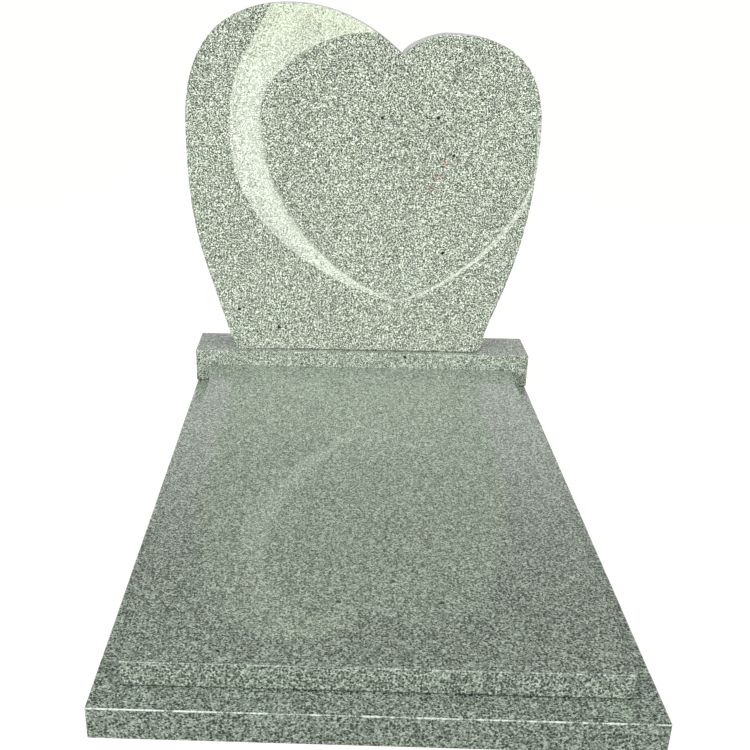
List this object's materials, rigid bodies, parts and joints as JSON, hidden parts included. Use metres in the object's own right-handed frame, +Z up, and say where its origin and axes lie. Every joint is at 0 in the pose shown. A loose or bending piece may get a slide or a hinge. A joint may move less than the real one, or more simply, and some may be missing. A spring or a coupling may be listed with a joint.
{
  "type": "heart headstone grave memorial with flat ledger",
  "caption": "Polished granite grave memorial: a flat ledger slab on a low kerb frame, and an upright heart headstone with a carved crescent on a plinth.",
  "frame": {"origin": "on the ground, under the middle of the kerb frame's width and length", "axes": "+Z up, +Y along the grave from its foot to the headstone, +X to the right of someone facing the headstone's carved face"},
  "size_m": [1.018, 1.6154, 1.1556],
  "materials": {
    "headstone_granite": "polished",
    "plinth_granite": "polished",
    "ledger_granite": "polished",
    "kerb_granite": "satin"
  },
  "bodies": {
    "root": {"headstone": "headstone_granite", "plinth": "plinth_granite", "ledger": "ledger_granite", "kerb_front": "kerb_granite", "kerb_left": "kerb_granite", "kerb_right": "kerb_granite", "kerb_rear": "kerb_granite"}
  },
  "joints": []
}
